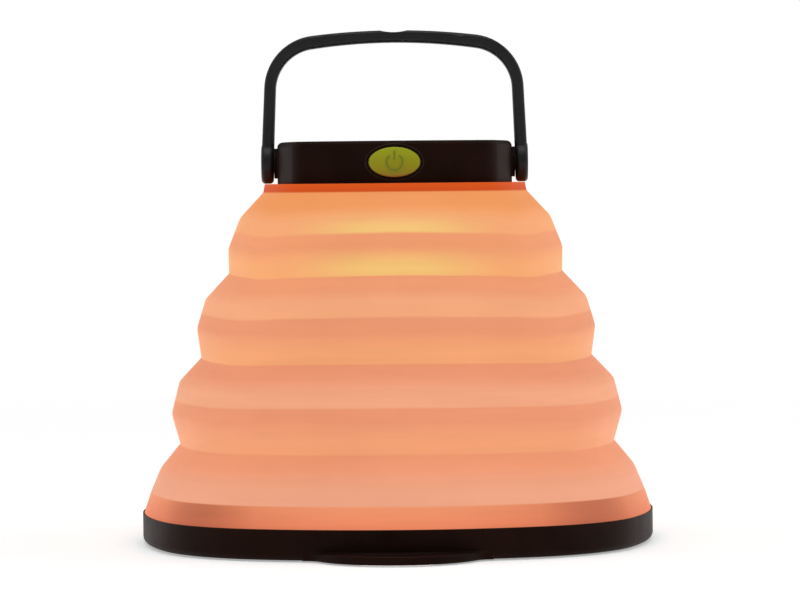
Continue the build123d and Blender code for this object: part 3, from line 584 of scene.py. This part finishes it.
# Light that comes through the shade away from the lamp's beam. Each band is lit over its lower line, for this
# many millimetres, and shaded as far under its upper line. Colours are given at even steps from the shade's
# foot to its top: the middle is the deepest, far from both the white tray and the lamp.
BAND_END = 3.0
BEAD_GLOW = ((0.68, 0.19, 0.09), (0.73, 0.26, 0.12))
SHOULDER_LIT = ((0.62, 0.27, 0.17), (0.66, 0.29, 0.15), (0.68, 0.28, 0.09))
CREST_LIT = ((0.63, 0.24, 0.12), (0.70, 0.32, 0.10))
SHADED = ((0.65, 0.23, 0.11), (0.58, 0.20, 0.10), (0.64, 0.24, 0.09))
UNDER_NECK = (0.63, 0.21, 0.04)
NECK_GLOW = ((0.42, 0.04, 0.0), (0.50, 0.06, 0.0))

# The lamp's beam strikes the two bands nearest to it, in the middle of each side: the band's lower line, and
# strengths by height over it. It is full at the first distance from the middle and gone at the second, in
# millimetres, and weaker on the sides than at the front and the back.
BEAM_BANDS = (
    (VALLEYS[2], ((OVER_LINE, 0.75), (1.8, 1.0), (3.8, 0.65), (6.8, 0.0))),
    (LEDGES[2], ((OVER_LINE, 1.0), (1.5, 1.0), (3.5, 0.35), (6.0, 0.0))),
)
BEAM_COLOUR = (0.0, 0.17, 0.02)
FRONT_BEAM = (4.0, 29.0)
SIDE_BEAM = (2.0, 18.0)
SIDE_BEAM_STRENGTH = 0.3


def colour_at(height, colours):
    """Colour at a height, where the given ones stand at even steps from the shade's foot to its top."""
    places = np.linspace(SHADE_FOOT, SHADE_TOP, len(colours))
    return tuple(float(np.interp(height, places, channel)) for channel in zip(*colours))


def glow_rows():
    """Light through the shade by height, from the foot up."""
    lines = sorted((BEAD_LINE, *VALLEYS, *LEDGES))
    rows = [(SHADE_FOOT, BEAD_GLOW[0]), (BEAD_LINE - UNDER_LINE, BEAD_GLOW[1])]
    for low, high in zip(lines, lines[1:]):
        lit = colour_at(low, CREST_LIT if low in VALLEYS else SHOULDER_LIT)
        shaded = UNDER_NECK if high == VALLEYS[-1] else colour_at(high, SHADED)
        start = low + OVER_LINE
        end = high - UNDER_LINE
        rows.extend(((start, lit), (start + BAND_END, lit), (end - BAND_END, shaded), (end, shaded)))
    rows.extend(((VALLEYS[-1] + OVER_LINE, NECK_GLOW[0]), (SHADE_TOP, NECK_GLOW[1])))
    return rows


def beam_rows():
    """Strength of the lamp's beam by height, from the lower band that it strikes."""
    rows = []
    for line, strengths in BEAM_BANDS:
        rows.append((line - UNDER_LINE, 0.0))
        rows.extend((line + over, strength) for over, strength in strengths)
    return rows


def height_stops(rows):
    """Colour ramp stops from colours or strengths by height on the shade."""
    stops = []
    for height, value in rows:
        colour = value if isinstance(value, tuple) else (value, value, value)
        stops.append(((height - SHADE_FOOT) / (SHADE_TOP - SHADE_FOOT), colour))
    return stops


def beam_width(s, coordinate, reach):
    """1 in the middle of a side and 0 past the beam's reach."""
    full, gone = reach
    return s.smooth(s.maths("ABSOLUTE", coordinate), gone * MM, full * MM)


def shade_silicone():
    """Frosted translucent silicone; the lamp's light through it, its shade and its beam, is painted as
    emission.
    """
    s = Surface("shade_silicone", **{"Specular_IOR_Level": 0.2})
    corner = s.add("ShaderNodeAttribute", attribute_name="corner").outputs["Fac"]
    s.attribute("rest")
    x, y, z = s.axes()
    height = s.spread(z, SHADE_FOOT * MM, SHADE_TOP * MM)
    frost = s.noise(2200.0, 3.0)
    waves = s.noise(45.0, 3.0, (1.0, 1.0, 0.35))
    bead = s.spread(z, (BEAD_LINE + OVER_LINE) * MM, (BEAD_LINE - UNDER_LINE) * MM)
    neck = s.spread(z, (VALLEYS[-1] - UNDER_LINE) * MM, (VALLEYS[-1] + OVER_LINE) * MM)
    base = s.mix(s.spread(waves, 0.35, 0.65), (0.28, 0.12, 0.07), (0.32, 0.14, 0.085))
    base = s.mix(bead, base, (0.20, 0.06, 0.035))
    base = s.mix(neck, base, (0.26, 0.04, 0.008))
    s.drive("Base Color", base)
    s.drive("Roughness", s.spread(frost, 0.3, 0.7, 0.5, 0.62))
    glow = s.ramp(height, height_stops(glow_rows()))
    across = beam_width(s, x, FRONT_BEAM)
    along = s.maths("MULTIPLY", beam_width(s, y, SIDE_BEAM), SIDE_BEAM_STRENGTH)
    beam = s.maths("MULTIPLY", s.ramp(height, height_stops(beam_rows())), s.maths("MAXIMUM", across, along))
    glow = s.mix(beam, glow, s.mix(1.0, glow, BEAM_COLOUR, "ADD"))
    # Painted shade: towards the corners the bead's glow is dimmer and deeper red.
    painted_corner_shade = s.maths("MULTIPLY", s.maths("POWER", corner, 2.0), s.maths("MULTIPLY", bead, 0.45))
    streaks = s.noise(420.0, 4.0, (0.1, 0.1, 1.0))
    glow_strength = s.maths("SUBTRACT", s.spread(streaks, 0.25, 0.75, 0.96, 1.04), painted_corner_shade)
    s.drive("Emission Color", s.mix(painted_corner_shade, glow, (0.60, 0.10, 0.03)))
    s.drive("Emission Strength", glow_strength)
    s.relief(waves, 0.15 * MM)
    s.relief(frost, 0.012 * MM)
    return s


def make_shade():
    shade = build_shade()
    shade.data.materials.append(shade_silicone().material)
    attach(shade, "base")
    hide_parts("bellows")
    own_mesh(shade)


# ---------------------------------------------------------------- Studio

def make_floor():
    """Wide pale floor that fades into the white backdrop."""
    mesh = bpy.data.meshes.new("studio_floor")
    vertices = [(0.0, 0.0, 0.0)]
    faces = []
    for radius in FLOOR_RINGS[1:]:
        for i in range(FLOOR_SECTORS):
            angle = 2 * math.pi * i / FLOOR_SECTORS
            vertices.append((radius * math.cos(angle), radius * math.sin(angle), 0.0))
    for i in range(FLOOR_SECTORS):
        j = (i + 1) % FLOOR_SECTORS
        faces.append((0, 1 + i, 1 + j))
        for ring in range(len(FLOOR_RINGS) - 2):
            inner = 1 + ring * FLOOR_SECTORS
            outer = inner + FLOOR_SECTORS
            faces.append((inner + i, outer + i, outer + j, inner + j))
    mesh.from_pydata(vertices, [], faces)
    floor = bpy.data.objects.new("studio_floor", mesh)
    floor.location.z = -FLOOR_GAP
    bpy.context.scene.collection.objects.link(floor)
    s = Surface("studio_floor", **{"Specular_IOR_Level": 0.1})
    reach = s.add("ShaderNodeVectorMath", {0: s.place}, operation="LENGTH").outputs["Value"]
    far = s.spread(reach, *FLOOR_FADE)
    paper = s.mix(s.spread(s.noise(60.0), 0.3, 0.7), (0.86, 0.86, 0.86), (0.9, 0.9, 0.9))
    s.drive("Base Color", s.mix(far, paper, (0.0, 0.0, 0.0)))
    s.drive("Roughness", s.spread(s.noise(300.0), 0.3, 0.7, 0.6, 0.75))
    s.drive("Emission Color", s.mix(far, (0.38, 0.38, 0.38), (1.0, 1.0, 1.0)))
    s.shader.inputs["Emission Strength"].default_value = 1.0
    mesh.materials.append(s.material)


def make_world():
    """White dome. It lights the object less than it shows, like a white room round a studio table."""
    world = bpy.data.worlds.new("studio")
    world.use_nodes = True
    tree = world.node_tree
    shown = tree.nodes["Background"]
    shown.inputs["Color"].default_value = (1.0, 1.0, 1.0, 1.0)
    lighting = tree.nodes.new("ShaderNodeBackground")
    lighting.inputs["Color"].default_value = (1.0, 1.0, 1.0, 1.0)
    direction = tree.nodes.new("ShaderNodeTexCoord")
    parts = tree.nodes.new("ShaderNodeSeparateXYZ")
    tree.links.new(direction.outputs["Generated"], parts.inputs[0])
    strength = tree.nodes.new("ShaderNodeMapRange")
    strength.inputs["From Min"].default_value = -0.9
    strength.inputs["From Max"].default_value = 0.3
    strength.inputs["To Min"].default_value = ROOM_FRONT
    strength.inputs["To Max"].default_value = ROOM_BACK
    tree.links.new(parts.outputs["Y"], strength.inputs["Value"])
    tree.links.new(strength.outputs[0], lighting.inputs["Strength"])
    path = tree.nodes.new("ShaderNodeLightPath")
    choose = tree.nodes.new("ShaderNodeMixShader")
    tree.links.new(path.outputs["Is Camera Ray"], choose.inputs[0])
    tree.links.new(lighting.outputs[0], choose.inputs[1])
    tree.links.new(shown.outputs[0], choose.inputs[2])
    tree.links.new(choose.outputs[0], tree.nodes["World Output"].inputs["Surface"])
    bpy.context.scene.world = world


def soft_light(name, place, size, power):
    """Square softbox that faces the lantern. It isn't seen by the camera itself."""
    data = bpy.data.lights.new(name, "AREA")
    data.shape = "SQUARE"
    data.size = size
    data.energy = power
    lamp = bpy.data.objects.new(name, data)
    lamp.location = place
    aim = np.array(LANTERN_MIDDLE) - np.array(place)
    lamp.rotation_euler = Vector(aim).to_track_quat("-Z", "Y").to_euler()
    lamp.visible_camera = False
    bpy.context.scene.collection.objects.link(lamp)


def make_lights():
    for softbox in SOFTBOXES:
        soft_light(*softbox)


def make_camera():
    data = bpy.data.cameras.new("camera")
    data.sensor_width = CAMERA_SENSOR
    data.lens = CAMERA_LENS
    camera = bpy.data.objects.new("camera", data)
    camera.location = CAMERA_PLACE
    camera.rotation_euler = (math.radians(90 - CAMERA_DOWN), math.radians(CAMERA_LEAN), 0.0)
    bpy.context.scene.collection.objects.link(camera)
    bpy.context.scene.camera = camera


make_camera()
make_world()
make_lights()
make_floor()
dress_cad_nodes()
make_shade()
bpy.context.scene.view_settings.view_transform = "Standard"
